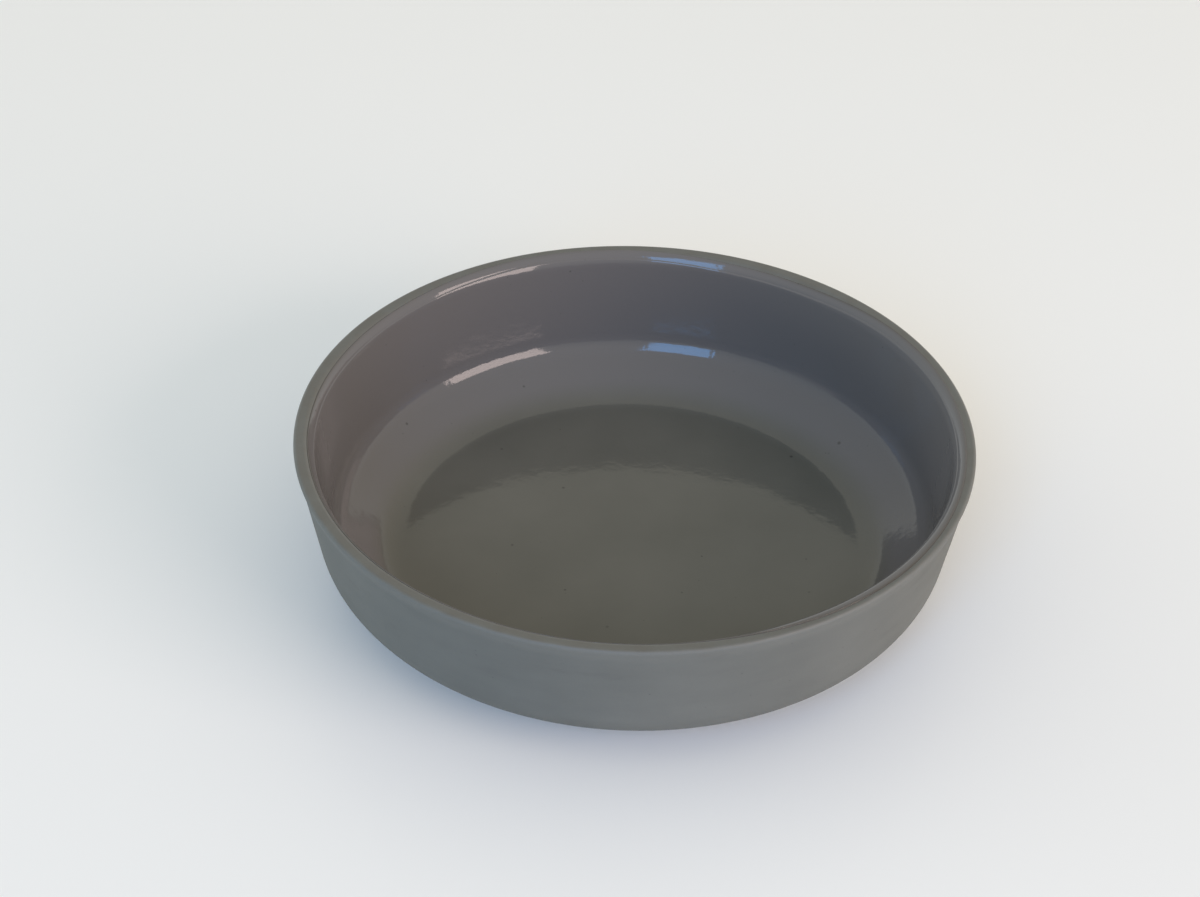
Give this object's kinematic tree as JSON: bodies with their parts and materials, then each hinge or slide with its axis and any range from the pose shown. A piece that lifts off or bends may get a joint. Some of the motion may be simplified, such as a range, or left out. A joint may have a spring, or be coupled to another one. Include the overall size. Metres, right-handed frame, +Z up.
{
  "type": "deep plate",
  "caption": "Round deep plate with a flat floor, a sloped shoulder and a steep wall, bare grey clay outside and on the lip, and glazed inside.",
  "frame": {"origin": "centre of the foot ring on the table, on the plate's axis", "axes": "+Z up along the plate's axis; +X to the right and +Y away in the picture's view"},
  "size_m": [0.2, 0.2, 0.0505],
  "materials": {
    "bare_clay": "matte",
    "dark_glaze": "polished"
  },
  "bodies": {
    "root": {"clay_body": "bare_clay", "glaze_lining": "dark_glaze"}
  },
  "joints": []
}
